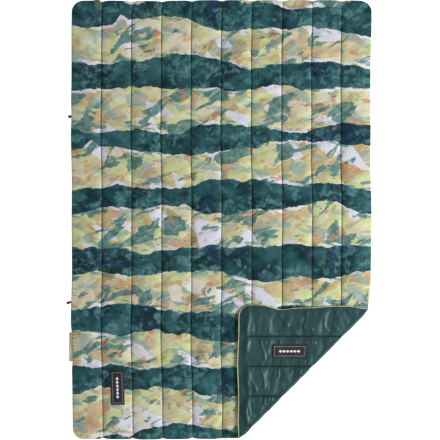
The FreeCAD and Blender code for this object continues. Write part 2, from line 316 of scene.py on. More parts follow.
# Creases in the lining of the corner: (u, v) of both ends, height and half width in millimetres.
CREASES = (
    ((0.625, -0.640), (0.590, -0.646), 3.0, 7),
    ((0.590, -0.646), (0.535, -0.655), 2.4, 7),
    ((0.626, -0.762), (0.555, -0.727), 2.2, 6),
    ((0.590, -0.572), (0.530, -0.556), 2.6, 6),
    ((0.565, -0.550), (0.529, -0.492), 2.4, 6),
    ((0.620, -0.700), (0.598, -0.690), 1.8, 5),
    ((0.618, -0.520), (0.585, -0.505), 1.8, 5),
    ((0.628, -0.470), (0.600, -0.452), 1.6, 5),
    ((0.545, -0.862), (0.525, -0.856), 1.8, 5),
    ((0.500, -0.838), (0.402, -0.824), 2.0, 5),
    ((0.505, -0.655), (0.480, -0.660), 2.0, 6),
    ((0.504, -0.808), (0.478, -0.800), 1.6, 5),
    ((0.370, -0.838), (0.285, -0.822), 2.2, 6),
    ((0.370, -0.770), (0.335, -0.765), 1.6, 5),
    ((0.345, -0.890), (0.268, -0.858), 2.4, 6),
    ((0.235, -0.905), (0.170, -0.880), 2.0, 6),
)


def pleats():
    """Short pleats that the stitches draw up along the corner's seams, in the form of CREASES."""
    rng = np.random.default_rng(7)
    made = []
    for k in range(6, CHANNELS):
        u = -HALF_W + k * CHANNEL
        v = -CLOTH_V + 0.055
        while v < u - FOLD - 0.03:
            way = -1 if rng.random() < 0.65 else 1
            near, far = 0.003 * way, rng.uniform(0.016, 0.040) * way
            slant = -0.4 * (far - near)
            made.append(((u + near, v), (u + far, v + slant), rng.uniform(1.2, 2.4), rng.uniform(3.6, 5.6)))
            v += rng.uniform(0.009, 0.026)
    return tuple(made)


PLEATS = pleats()


def crease_height(u, v):
    """The creases and pleats, each a soft ridge that fades at its ends."""
    total = np.zeros(np.shape(u))
    for (u0, v0), (u1, v1), height, width in CREASES + PLEATS:
        length = math.hypot(u1 - u0, v1 - v0)
        along = ((u - u0) * (u1 - u0) + (v - v0) * (v1 - v0)) / length**2
        across = ((u - u0) * (v1 - v0) - (v - v0) * (u1 - u0)) / length
        across = across + 0.004 * np.sin(along * 5 + u0 * 40)
        fade = np.exp(-(np.maximum(np.abs(along - 0.5) - 0.35, 0) ** 2) / 0.02)
        total = np.maximum(total, height * 0.001 * fade * bell(across * 1000 / width))
    return total


def calm(u, v):
    """1 away from the lining's label and patches, and 0 under them, where the cloth is held flat."""
    share = 1.0
    for middle_u, middle_v, half_v, half_u in CALM_PLACES:
        off = np.maximum(np.abs(u - middle_u) - half_u, np.abs(v - middle_v) - half_v)
        share = share * ease(off / 0.012 + 0.2)
    return share


def hem_ridge(u, v):
    """The ridge along the free edges, where the filling starts."""
    wander = 0.004 * np.sin(u * 21 + 1) + 0.003 * np.sin(u * 55)
    distance = v + CLOTH_V - HEM_FROM_EDGE - wander
    tall = HEM_TALL * (0.85 + 0.25 * np.sin(u * 38 + 1))
    return tall * bell(distance / HEM_HALF) * ease(fold_distance(u, v) / 0.03)


def flap_height(u, v):
    """Height of the corner's lining with the blanket open; low is proud when it is folded."""
    seam = FLAP_SEAM_Z * ease(fold_distance(u, v) / 0.03)
    seam = np.maximum(seam, SEAM_Z - LAYER)
    edge = SEAM_Z - LAYER + droop(u, v)
    rise_seam = crown(seam_distance(u) / (CHANNEL / 2))
    rise_edge = crown(edge_distance(u, v) / EDGE_RUN)
    near_fold = ease(fold_distance(u, v) / 0.06)
    floor = lining_height(u, v)
    height = 0.0012 + (seam - 0.0012) * (1 - rise_seam)
    height = height + (edge - height) * (1 - rise_edge)
    height = floor + (height - floor) * near_fold
    puff = rise_seam * rise_edge
    relief = (0.75 * FLAP_PUCKERS(u, v) + 1.45 * crease_height(u, v)) * calm(u, v) * np.sqrt(puff)
    relief = relief + hem_ridge(u, v) * rise_edge * (0.45 + 0.55 * rise_seam)
    return height - relief * ease(fold_distance(u, v) / 0.02)


# Waves of the corner's free edges: (place along the edge, outward shift, half width).
SIDE_WAVES = ((-0.858, 0.008, 0.06), (-0.751, -0.013, 0.055), (-0.630, -0.006, 0.07), (-0.50, 0.003, 0.07))
FOOT_WAVES = ((0.56, -0.004, 0.10), (0.40, 0.002, 0.08), (0.25, -0.003, 0.07))


def edge_wave(u, v):
    """How far the corner's outline wanders, in u and v."""
    fade = ease(fold_distance(u, v) / 0.08)
    side = sum(shift * bell((v - place) / width) for place, shift, width in SIDE_WAVES)
    foot = sum(shift * bell((u - place) / width) for place, shift, width in FOOT_WAVES)
    side = side * ease(1 - (CLOTH_U - u) / 0.10)
    foot = foot * ease(1 - (CLOTH_V + v) / 0.10)
    return side * fade, -foot * fade


def bulge(u, v):
    """How far the face leans out over the piping, in u and v."""
    share = np.clip(edge_distance(u, v) / OVERHANG_RUN, 0, 1)
    lean = OVERHANG * np.sin(math.pi * share) * ease(fold_distance(u, v) / 0.09)
    lean = lean * (0.65 + 0.35 * crown(seam_distance(u) / 0.04))
    x, y = edge_normal(u, v)
    return lean * x, lean * y


def drawn_in(x, y, z):
    """Draws the outline in along the fold line at the fold's ends, where the fold pulls it."""
    total = 0.0
    upper = (CLOTH_U, CLOTH_U - FOLD, -1, 0.012)
    lower = (FOLD - CLOTH_V, -CLOTH_V, 1, 0.005)
    for end_x, end_y, way, pull in (upper, lower):
        near = np.exp(-((x - end_x) ** 2 + (y - end_y) ** 2) / 0.055**2)
        total = total + way * pull * math.sqrt(0.5) * near
    return np.stack([x + total + CENTRE_X, y + total + CENTRE_Y, z], -1)


UPPER_LOOP_V = JOINTS["side_loop_upper_swing"]["pos_m"][1] - CENTRE_Y


def lie(u, v):
    """How far the cloth lies from its cut place, in u and v; nothing at the fold."""
    away = ease((FOLD - u + v) * math.sqrt(0.5) / 0.15)
    # Slow waves across, a lean towards the foot, and a swing beside the fold.
    side = 0.0020 * np.sin(6.3 * v + 1.9) + 0.0011 * np.sin(15 * v + 2 * u)
    side = side + 0.006 * ease((-0.40 - v) / 0.5) * ease((0.4 - u) / 0.5)
    side = side + 0.005 * bell((u - 0.30) / 0.22)
    # The edge stays back from the care label and from the upper loop's root.
    label = np.exp(-(((v + 0.544) / 0.075) ** 4)) * ease((-0.56 - u) / 0.08)
    side = side + 0.006 * label
    loop = bell((v - UPPER_LOOP_V) / 0.05) * ease((-0.56 - u) / 0.08)
    side = side + 0.0028 * loop
    # Both ends are drawn in, most at the seams.
    along = 0.0016 * np.sin(5.1 * u + 0.7) + 0.0009 * np.sin(13 * u + 2)
    pull = 0.0020 + 0.0028 * bell(seam_distance(u) / 0.016)
    pull = pull * ease(1 - (CLOTH_V - np.abs(v)) / 0.06)
    return side * away, (along - np.sign(v) * pull) * away


def over_piping(u, v):
    """How far the corner's lining edge creeps out over the piping, in u and v."""
    creep = 0.0016 * ease(1 - edge_distance(u, v) / 0.010)
    x, y = edge_normal(u, v)
    return creep * x, creep * y


def in_panel(u, v, z):
    du, dv = lie(u, v)
    return drawn_in(u + du, v + dv, z)


def in_fold(u, v, z):
    """The place of an open panel place once the corner is folded over."""
    return drawn_in(v + FOLD, u - FOLD, 2 * HINGE.z - z)


# ---------------------------------------------------------------- meshes


def outline_v(u):
    """The top edge's v at each u; the bottom edge is its mirror image."""
    beyond = np.maximum(np.abs(u) - (CLOTH_U - CLOTH_ROUND), 0)
    return CLOTH_V - CLOTH_ROUND + np.sqrt(np.maximum(CLOTH_ROUND**2 - beyond**2, 0))


def column_places(low, high, fine=None):
    """Where the mesh's columns go: close together beside seams and edges."""
    places = [low, high]
    for k in range(CHANNELS + 1):
        seam = -HALF_W + k * CHANNEL
        if k in (0, CHANNELS):
            middle = math.copysign(CLOTH_U, seam)
            near = EDGE_STEPS
        else:
            middle, near = seam, SEAM_STEPS
        places.extend(middle + near)
        places.extend(middle - near)
        places.append(seam + CHANNEL / 2)
    if fine:
        places.extend(np.arange(low, high, fine))
    places = np.array(places)
    places = places[(places > low - 1e-9) & (places < high + 1e-9)]
    places = np.unique(np.round(places, 6))
    gap = 0.00025 if fine is None else 0.35 * fine
    kept = [places[0]]
    for place in places[1:]:
        on_seam = abs((place + HALF_W) / CHANNEL % 1) < 1e-4
        if place - kept[-1] > gap or on_seam or place == places[-1]:
            kept.append(place)
    return np.array(kept)


def row_shares(length, spacing, edge_high=True):
    """Shares of a column's length: even, and closer at the edges of the cloth."""
    start = EDGE_STEPS[:8]
    end = start if edge_high else start[:1]
    count = int(round((length - start[-1] - end[-1]) / spacing)) + 1
    middle = np.linspace(start[-1], length - end[-1], count)
    return np.concatenate([start[:-1], middle, length - end[:-1][::-1]]) / length


def finished(name, points, faces, flat, material):
    """A smooth-shaded mesh object whose UV map holds the cloth's own flat places."""
    mesh = bpy.data.meshes.new(name)
    mesh.from_pydata(points.reshape(-1, 3).tolist(), [], faces.tolist())
    mesh.polygons.foreach_set("use_smooth", np.ones(len(mesh.polygons), bool))
    corners = np.zeros(len(mesh.loops), int)
    mesh.loops.foreach_get("vertex_index", corners)
    layer = mesh.uv_layers.new(name="flat")
    layer.data.foreach_set("uv", flat.reshape(-1, 2)[corners].ravel())
    mesh.materials.append(material)
    piece = placed(name, mesh)
    return piece


def grid_faces(rows, columns, flip=False, ring=False):
    index = np.arange(rows * columns).reshape(rows, columns)
    if ring:
        index = np.concatenate([index, index[:, :1]], 1)
    quads = np.stack([index[:-1, :-1], index[:-1, 1:], index[1:, 1:], index[1:, :-1]], -1).reshape(-1, 4)
    return quads[:, ::-1] if flip else quads


def weld(piece, distance):
    """Joins points that fall together, and drops what collapses."""
    work = bmesh.new()
    work.from_mesh(piece.data)
    bmesh.ops.remove_doubles(work, verts=work.verts, dist=distance)
    bmesh.ops.dissolve_degenerate(work, edges=work.edges, dist=distance / 10)
    work.to_mesh(piece.data)
    work.free()


def closed(piece, sides=0):
    """Fills open ends of up to so many sides, and turns all faces outward."""
    work = bmesh.new()
    work.from_mesh(piece.data)
    if sides:
        bmesh.ops.holes_fill(work, edges=[e for e in work.edges if e.is_boundary], sides=sides)
    bmesh.ops.recalc_face_normals(work, faces=work.faces)
    work.to_mesh(piece.data)
    work.free()
    return piece


def main_grid(spacing):
    """Panel places of the part that isn't folded over, from its lower boundary to the top edge."""
    tip = FOLD - CLOTH_V
    columns = np.unique(np.append(column_places(-CLOTH_U, CLOTH_U), tip))
    low = np.maximum(-outline_v(columns), columns - FOLD)
    high = outline_v(columns)
    shares = row_shares(2 * CLOTH_V, spacing)
    v = low + shares[:, None] * (high - low)
    return np.broadcast_to(columns, v.shape), v


def corner_grid(spacing, fine=None):
    """Panel places of the corner, from the outline up to the fold line."""
    tip = FOLD - CLOTH_V
    columns = column_places(tip + 0.0004, CLOTH_U, fine)
    low = -outline_v(columns)
    high = columns - FOLD
    shares = row_shares(CLOTH_U - tip, spacing, edge_high=False)
    v = low + shares[:, None] * (high - low)
    return np.broadcast_to(columns, v.shape), v


def panel_piece(name, grid, height, place, material, flip, shift=None):
    """One sheet of the quilt from its grid of panel places and its height there."""
    u, v = grid
    z = height(u, v)
    x, y = u, v
    for move in shift or ():
        du, dv = move(u, v)
        x, y = x + du, y + dv
    faces = grid_faces(*u.shape, flip=flip)
    return finished(name, place(x, y, z), faces, np.stack([u, v], -1), material)


# ---------------------------------------------------------------- materials


def colour(red, green, blue):
    """A colour from its usual 0-255 values."""
    values = [c / 255 for c in (red, green, blue)]
    linear = [c / 12.92 if c <= 0.04045 else ((c + 0.055) / 1.055) ** 2.4 for c in values]
    return (*linear, 1.0)


class Shader:
    """A material's node tree, with short calls for the nodes that it uses."""

    def __init__(self, name, **fixed):
        self.material = bpy.data.materials.new(name)
        self.material.use_nodes = True
        self.tree = self.material.node_tree
        self.surface = self.tree.nodes["Principled BSDF"]
        for socket, value in fixed.items():
            self.surface.inputs[socket.replace("_", " ")].default_value = value

    def node(self, kind, inputs=(), **settings):
        made = self.tree.nodes.new(kind)
        for key, value in settings.items():
            setattr(made, key, value)
        for key, value in dict(inputs).items():
            self.put(made.inputs[key], value)
        return made

    def put(self, socket, value):
        if isinstance(value, bpy.types.NodeSocket):
            self.tree.links.new(value, socket)
        else:
            socket.default_value = value

    def flat(self):
        """The cloth's own places, in metres."""
        return self.node("ShaderNodeUVMap", uv_map="flat").outputs["UV"]

    def split(self, vector):
        made = self.node("ShaderNodeSeparateXYZ", {0: vector})
        return made.outputs[0], made.outputs[1]

    def join(self, x, y, z=0.0):
        return self.node("ShaderNodeCombineXYZ", {0: x, 1: y, 2: z}).outputs[0]

    def math(self, operation, a, b=0.0):
        return self.node("ShaderNodeMath", {0: a, 1: b}, operation=operation).outputs[0]

    def add(self, a, b):
        return self.math("ADD", a, b)

    def sub(self, a, b):
        return self.math("SUBTRACT", a, b)

    def mul(self, a, b):
        return self.math("MULTIPLY", a, b)

    def span(self, value, low, high, to_low=0.0, to_high=1.0):
        """Maps low..high to to_low..to_high, with soft ends, and holds beyond."""
        inputs = {0: value, 1: low, 2: high, 3: to_low, 4: to_high}
        return self.node("ShaderNodeMapRange", inputs, interpolation_type="SMOOTHSTEP").outputs[0]

    def noise(self, vector, scale, detail, roughness=0.5, distortion=0.0, out=0):
        inputs = {
            "Vector": vector,
            "Scale": scale,
            "Detail": detail,
            "Roughness": roughness,
            "Distortion": distortion,
        }
        return self.node("ShaderNodeTexNoise", inputs).outputs[out]

    def cells(self, vector, scale, out):
        inputs = {"Vector": vector, "Scale": scale, "Randomness": 1.0}
        return self.node("ShaderNodeTexVoronoi", inputs).outputs[out]

    def turned(self, vector, angle, scale, shift=(0, 0, 0)):
        """The places turned by an angle in degrees and then stretched."""
        inputs = {"Vector": vector, "Rotation": (0, 0, math.radians(angle))}
        turned = self.node("ShaderNodeMapping", inputs, vector_type="POINT").outputs[0]
        inputs = {"Vector": turned, "Scale": (*scale, 1), "Location": shift}
        return self.node("ShaderNodeMapping", inputs, vector_type="POINT").outputs[0]

    def vector(self, operation, a, b):
        inputs = {0: a, "Scale" if operation == "SCALE" else 1: b}
        return self.node("ShaderNodeVectorMath", inputs, operation=operation).outputs[0]

    def moved(self, vector, by):
        return self.vector("ADD", vector, by)

    def mix(self, share, a, b, blend="MIX"):
        inputs = {"Factor": share, 6: a, 7: b}
        return self.node("ShaderNodeMix", inputs, data_type="RGBA", blend_type=blend).outputs[2]

    def over(self, base, paint, value, low, high, most=1.0):
        """Paints over base where value passes from low to high."""
        return self.mix(self.mul(self.span(value, low, high), most), base, paint)

    def toned(self, base, tone):
        return self.mix(1.0, base, self.join(tone, tone, tone), "MULTIPLY")

    def ramp(self, value, stops, steps=False):
        made = self.node("ShaderNodeValToRGB", {0: value})
        made.color_ramp.interpolation = "CONSTANT" if steps else "LINEAR"
        elements = made.color_ramp.elements
        while len(elements) < len(stops):
            elements.new(0.5)
        for element, (place, shade) in zip(elements, stops):
            element.position = place
        for element, (place, shade) in zip(elements, stops):
            element.color = shade
        return made.outputs[0]

    def finish(self, base=None, roughness=None, height=None, strength=0.3, distance=0.001):
        if base is not None:
            self.put(self.surface.inputs["Base Color"], base)
        if roughness is not None:
            self.put(self.surface.inputs["Roughness"], roughness)
        if height is not None:
            inputs = {"Height": height, "Strength": strength, "Distance": distance}
            self.put(self.surface.inputs["Normal"], self.node("ShaderNodeBump", inputs).outputs[0])
        return self.material

    def weave(self, places, pitch):
        """A plain weave's relief: threads over and under, pitch metres apart."""
        x, y = self.split(places)
        turn = 2 * math.pi / pitch
        across = self.math("SINE", self.mul(x, turn))
        along = self.math("SINE", self.mul(y, turn))
        return self.mul(across, along)


INK_TEAL = colour(12, 46, 52)
DARK_TEAL = colour(25, 69, 75)
DEEP_TEAL = colour(41, 89, 94)
NAVY = colour(32, 54, 86)
SMUDGE_TEAL = colour(60, 106, 111)
SPOT_TEAL = colour(84, 130, 132)
BRUSH_TEAL = colour(90, 138, 132)
BRUSH_DARK = colour(56, 102, 102)
BRUSH_GREY = colour(142, 170, 162)
LIME = colour(196, 209, 148)
STRAW = colour(204, 202, 160)
OCHRE = colour(186, 160, 114)
UMBER = colour(140, 128, 92)
CREAM = colour(214, 210, 186)
PEACH = colour(200, 166, 138)
CORAL = colour(200, 130, 98)
LAVENDER = colour(213, 213, 223)
SLIVER = colour(222, 216, 204)

BAND_PERIOD = 0.261
BAND_START = 0.0925
BAND_HALF = 0.0480


def print_bands(g, u, v):
    """Distance inside the nearest dark band (negative in the light ones) and the band's number."""
    wander = g.noise(g.join(u, g.mul(v, 0.6)), 1.7, 1.0)
    v = g.add(v, g.mul(g.sub(wander, 0.5), 0.11))
    place = g.math("DIVIDE", g.sub(v, BAND_START - BAND_PERIOD / 2), BAND_PERIOD)
    number = g.math("FLOOR", place)
    middle = g.mul(g.sub(g.sub(place, number), 0.5), BAND_PERIOD)
    upper = g.join(u, g.mul(number, 7.7), 1.3)
    lower = g.join(u, g.mul(number, 5.9), 9.1)
    edges = []
    for line, reach, tooth, limit in ((upper, 0.15, 0.016, 0.62), (lower, 0.17, 0.032, 0.50)):
        long_wave = g.mul(g.sub(g.noise(line, 2.6, 1.0), 0.5), reach)
        short_wave = g.mul(g.sub(g.noise(line, 13.0, 2.0, 0.6), 0.5), 0.045)
        tooth_line = g.vector("MULTIPLY", line, (1, 3.1, 1))
        away = g.cells(tooth_line, 8.0, "Distance")
        chance = g.split(g.cells(tooth_line, 8.0, "Color"))[0]
        peak = g.math("MAXIMUM", g.sub(1.0, g.mul(away, 3.4)), 0.0)
        peak = g.mul(g.mul(peak, tooth), g.math("GREATER_THAN", chance, limit))
        edges.append(g.sub(g.add(g.add(long_wave, short_wave), BAND_HALF), peak))
    torn = g.mul(g.sub(g.noise(g.join(u, v), 60.0, 3.0, 0.6), 0.5), 0.009)
    inside = g.math("MINIMUM", g.sub(edges[0], middle), g.add(edges[1], middle))
    return g.add(inside, torn), number


def dark_print(g, places):
    """The dark bands: ink and deep teal with navy hints, clouded and finely mottled."""
    base = g.ramp(
        g.noise(g.moved(places, (3.1, 0.4, 0)), 6.0, 3.0, 0.6),
        ((0.34, NAVY), (0.42, INK_TEAL), (0.50, DARK_TEAL), (0.60, DEEP_TEAL), (0.70, INK_TEAL)),
    )
    cloud = g.noise(g.moved(places, (0.7, 5.2, 0)), 9.0, 5.0, 0.66, 0.3)
    base = g.over(base, SMUDGE_TEAL, cloud, 0.51, 0.63, 0.7)
    mottle = g.noise(places, 70.0, 4.0, 0.62)
    blot = g.span(g.noise(g.moved(places, (5.3, 3.9, 0)), 17.0, 2.0, 0.5, 0.2), 0.55, 0.63)
    base = g.mix(g.mul(blot, g.span(mottle, 0.34, 0.60, 0.15, 0.9)), base, SPOT_TEAL)
    spread = g.span(g.noise(g.moved(places, (8.2, 1.7, 0)), 5.0, 1.0), 0.46, 0.56)
    spots = g.span(g.noise(places, 40.0, 5.0, 0.62, 0.3), 0.48, 0.64)
    base = g.mix(g.mul(g.mul(spots, spread), 0.75), base, SPOT_TEAL)
    pits = g.span(g.noise(g.moved(places, (2.2, 9.7, 0)), 44.0, 4.0, 0.66), 0.52, 0.63)
    base = g.mix(g.mul(g.mul(pits, spread), 0.85), base, INK_TEAL)
    scratch = g.noise(g.turned(places, 28, (9, 90)), 1.0, 3.0, 0.6)
    return g.over(base, SMUDGE_TEAL, scratch, 0.55, 0.72, 0.4)


def light_print(g, places):
    """The light bands: overlapping brushed patches of straw, ochre, peach, lavender and teal."""
    warp = g.noise(places, 9.0, 3.0, 0.5, 0.0, "Color")
    warp = g.vector("SCALE", g.vector("SUBTRACT", warp, (0.5, 0.5, 0.5)), 0.06)
    bent = g.moved(places, warp)
    strokes = g.turned(bent, -24, (0.6, 1.3))
    patch = g.cells(g.moved(strokes, (2.3, 0.0, 0)), 14.0, "Color")
    pick = g.split(patch)[0]
    soft = g.noise(strokes, 9.0, 3.0, 0.55)
    pick = g.add(g.mul(pick, 0.62), g.mul(soft, 0.42))
    base = g.ramp(
        pick,
        (
            (0.0, UMBER),
            (0.24, PEACH),
            (0.32, OCHRE),
            (0.40, LIME),
            (0.49, STRAW),
            (0.57, CREAM),
            (0.63, LIME),
            (0.70, OCHRE),
            (0.76, STRAW),
            (0.84, PEACH),
        ),
        steps=True,
    )
    wash = g.ramp(
        g.noise(g.moved(bent, (1.9, 7.3, 0)), 13.0, 3.0, 0.6),
        ((0.30, UMBER), (0.42, OCHRE), (0.50, STRAW), (0.56, LIME), (0.66, CREAM)),
    )
    base = g.mix(0.36, base, wash)
    grey = g.noise(g.turned(bent, 19, (7, 19), (4, 1, 0)), 1.0, 3.0, 0.6)
    base = g.over(base, BRUSH_GREY, grey, 0.53, 0.59, 0.8)
    facets = g.turned(g.moved(places, g.vector("SCALE", warp, 0.3)), 31, (0.6, 1.3))
    facet = g.split(g.cells(g.moved(facets, (5.5, 2.2, 0)), 14.0, "Color"))
    base = g.mix(g.math("GREATER_THAN", facet[0], 0.84), base, LAVENDER)
    base = g.mix(g.mul(g.math("LESS_THAN", facet[1], 0.12), 0.7), base, CREAM)
    ragged = g.noise(g.moved(strokes, (4.1, 3.3, 0)), 9.0, 4.0, 0.6, 0.5)
    teal = g.over(BRUSH_TEAL, BRUSH_DARK, g.noise(bent, 40.0, 4.0, 0.6), 0.42, 0.6)
    base = g.over(base, teal, ragged, 0.545, 0.57, 0.9)
    dabs = g.noise(g.moved(bent, (9.4, 6.1, 0)), 20.0, 2.0, 0.5)
    base = g.over(base, CORAL, dabs, 0.62, 0.67, 0.7)
    pale = g.noise(g.turned(bent, -38, (7, 60)), 1.0, 3.0, 0.65)
    return g.over(base, SLIVER, pale, 0.58, 0.68, 0.6)


def painted_seam_shade(g, u, v, depth, reach):
    """Painted shade along the stitched grooves, darkening the colour there; it runs out near the top and
    the foot.
    """
    place = g.math("DIVIDE", g.add(u, HALF_W), CHANNEL)
    away = g.mul(g.math("ABSOLUTE", g.sub(place, g.math("ROUND", place))), CHANNEL)
    shade = g.span(away, 0.0008, reach, depth, 0.0)
    ends = g.span(g.math("ABSOLUTE", v), CLOTH_V - 0.045, CLOTH_V - 0.026, 1.0, 0.15)
    return g.sub(1.0, g.mul(shade, ends))


def printed_face():
    """Satin-weave polyester with bands of painted hills, a design of its own."""
    g = Shader("printed_face", Sheen_Weight=0.02, Sheen_Roughness=0.5, Specular_IOR_Level=0.14)
    places = g.flat()
    u, v = g.split(places)
    inside, number = print_bands(g, u, v)
    light, dark = light_print(g, places), dark_print(g, places)
    line = g.join(g.mul(u, 5.5), g.mul(number, 3.7))
    width = g.span(g.noise(line, 1.0, 2.0, 0.6), 0.50, 0.62, 0.0, 0.015)
    sliver = g.math("LESS_THAN", g.math("ABSOLUTE", g.add(inside, g.mul(width, 0.5))), g.mul(width, 0.5))
    pale = g.over(LAVENDER, SLIVER, g.noise(line, 2.3, 1.0), 0.45, 0.55)
    light = g.mix(sliver, light, pale)
    brushed = g.noise(g.turned(places, 12, (10, 46), (0, 3, 0)), 1.0, 4.0, 0.6)
    fringe = g.mul(g.span(inside, -0.034, -0.004), g.span(brushed, 0.56, 0.60))
    light = g.mix(g.mul(fringe, 0.85), light, BRUSH_TEAL)
    base = g.over(light, dark, inside, -0.0009, 0.0009)
    streaks = g.noise(g.turned(places, -17, (16, 210)), 1.0, 2.0, 0.6)
    grain = g.noise(places, 190.0, 2.0, 0.6)
    tone = g.add(g.mul(g.sub(streaks, 0.5), 0.42), g.mul(g.sub(grain, 0.5), 0.20))
    # The seams get painted shade along their grooves, on top of the random tone.
    tone = g.mul(g.add(tone, 1.0), painted_seam_shade(g, u, v, 0.62, 0.0034))
    base = g.toned(base, tone)
    roughness = g.span(g.noise(places, 24.0, 2.0), 0.3, 0.7, 0.55, 0.66)
    return g.finish(base, roughness, g.weave(places, 0.0009), 0.12, 0.0003)


def lining(name="lining", fold_highlight=0.0):
    """Dark green taffeta with a soft shine; the last argument is how much of a paler painted highlight is
    mixed in along the folded edge.
    """
    g = Shader(name, Sheen_Weight=0.05, Sheen_Roughness=0.4, Specular_IOR_Level=0.66,
               Specular_Tint=(0.52, 0.82, 0.82, 1))
    places = g.flat()
    cloud = g.noise(places, 7.0, 3.0, 0.6)
    slub = g.noise(g.turned(places, 0, (30, 900)), 1.0, 2.0, 0.5)
    base = g.over(colour(30, 57, 60), colour(39, 68, 71), cloud, 0.35, 0.65)
    base = g.over(base, colour(50, 86, 88), slub, 0.45, 0.70, 0.4)
    # Painted highlight: a paler colour mixed in where light catches the folded edge.
    if fold_highlight:
        base = g.over(base, colour(108, 140, 134), g.noise(places, 30.0, 3.0, 0.6), 0.3, 0.6, fold_highlight)
    # Painted shade along the seams.
    tone = painted_seam_shade(g, *g.split(places), 0.80, 0.0056)
    base = g.toned(base, tone)
    roughness = g.span(g.noise(places, 60.0, 2.0), 0.35, 0.65, 0.43, 0.53)
    return g.finish(base, roughness, g.weave(places, 0.0008), 0.10, 0.0003)


def yarn(name, dark, light, pitch, roughness, sheen):
    """Twisted thread or piping: lighter and darker strands slanting across it."""
    g = Shader(name, Sheen_Weight=sheen, Roughness=roughness)
    along, across = g.split(g.flat())
    slant = g.add(g.mul(along, 2 * math.pi / pitch), g.mul(across, 2 * math.pi / (pitch * 2)))
    twist = g.math("SINE", slant)
    fibre = g.noise(g.flat(), 700.0, 2.0)
    base = g.mix(g.span(g.add(twist, g.mul(g.sub(fibre, 0.5), 2.0)), -1.0, 1.0), dark, light)
    return g.finish(base, None, twist, 0.3, pitch / 4)


def tape(name, dark, light, pitch):
    """Ribbed tape: ribs across its length, with a herringbone's change of slant at its middle."""
    g = Shader(name, Sheen_Weight=0.15, Roughness=0.7)
    along, across = g.split(g.flat())
    slant = g.math("ABSOLUTE", across)
    rib = g.math("SINE", g.mul(g.add(along, g.mul(slant, 0.8)), 2 * math.pi / pitch))
    fuzz = g.noise(g.flat(), 420.0, 3.0, 0.6)
    base = g.mix(g.span(g.add(rib, g.mul(g.sub(fuzz, 0.5), 2.4)), -1.1, 1.1), dark, light)
    return g.finish(base, g.span(fuzz, 0.3, 0.7, 0.6, 0.8), rib, 0.35, 0.0003)


LABEL_FRAME_INSET = 0.0085
LABEL_LINE = 0.0012
MARK_PITCH = 0.0155
MARK_COUNT = 6
MARK_REACH = 0.0062


def woven_label(half_length, half_width):
    """Black damask label with a grey frame line and a row of plain lozenges."""
    g = Shader("woven_label", Sheen_Weight=0.1, Specular_IOR_Level=0.4)
    along, across = g.split(g.flat())
    far, high = g.math("ABSOLUTE", along), g.math("ABSOLUTE", across)
    frame_line = g.math(
        "MAXIMUM",
        g.sub(far, half_length - LABEL_FRAME_INSET),
        g.sub(high, half_width - LABEL_FRAME_INSET),
    )
    frame_line = g.math("LESS_THAN", g.math("ABSOLUTE", frame_line), LABEL_LINE)
    step = g.math("FRACT", g.math("DIVIDE", g.add(along, 100 * MARK_PITCH), MARK_PITCH))
    slope = g.mul(g.math("ABSOLUTE", g.sub(step, 0.5)), 2 * MARK_REACH)
    lozenge = g.math("LESS_THAN", g.add(slope, high), MARK_REACH)
    lozenge = g.mul(lozenge, g.math("LESS_THAN", far, MARK_PITCH * MARK_COUNT / 2))
    rib = g.math("SINE", g.mul(along, 2 * math.pi / 0.0011))
    fibre = g.noise(g.flat(), 600.0, 2.0)
    black = g.mix(g.span(g.add(rib, fibre), -1.0, 2.0), colour(17, 18, 22), colour(36, 36, 42))
    base = g.mix(frame_line, black, colour(128, 122, 134))
    base = g.mix(lozenge, base, colour(232, 230, 232))
    return g.finish(base, g.span(fibre, 0.3, 0.7, 0.5, 0.65), rib, 0.3, 0.0002)


def care_cloth(reach):
    """Cream satin label, grey-brown along its outer fold."""
    g = Shader("care_cloth", Sheen_Weight=0.1, Specular_IOR_Level=0.3)
    along = g.split(g.flat())[0]
    fibre = g.noise(g.turned(g.flat(), 0, (200, 900)), 1.0, 2.0)
    cream = g.mix(fibre, colour(226, 220, 190), colour(238, 232, 206))
    brown = g.mix(fibre, colour(136, 122, 110), colour(158, 144, 132))
    base = g.over(brown, cream, g.math("ABSOLUTE", along), reach, reach + 0.0006)
    return g.finish(base, g.span(fibre, 0.3, 0.7, 0.5, 0.65), fibre, 0.2, 0.0002)


def studio_floor():
    g = Shader("studio_floor", Roughness=0.9, Emission_Color=(1, 1, 1, 1), Emission_Strength=0.85)
    cloud = g.noise(g.node("ShaderNodeTexCoord").outputs["Object"], 3.0, 2.0)
    return g.finish(g.mix(cloud, colour(246, 246, 246), colour(250, 250, 250)), None)


# ---------------------------------------------------------------- quilted sheets


def sewn_face(u, v):
    """Where the face is sewn: its seams and its outline."""
    return (seam_distance(u) < 0.0005) | (edge_distance(u, v) < 0.004)


def sewn_flap(u, v):
    """Where the corner's lining is held: seams, outline and fold."""
    return (seam_distance(u) < 0.0005) | (edge_distance(u, v) < 0.003) | (u - v < FOLD + 0.003)


FACE_PUCKERS = simulated((-HALF_W, HALF_W), (-HALF_L, HALF_L), 0.0064, sewn_face, 0.05, 0.3, 11)
FLAP_PUCKERS = simulated((0.0, HALF_W), (-HALF_L, -0.34), 0.0040, sewn_flap, 0.07, 0.15, 23, 1.3)

FACE_CLOTH = printed_face()
LINING_CLOTH = lining()
# The lining round the fold, with a paler painted highlight mixed into it.
HIGHLIT_FOLD_LINING = lining("lining_fold_edge", 0.35)


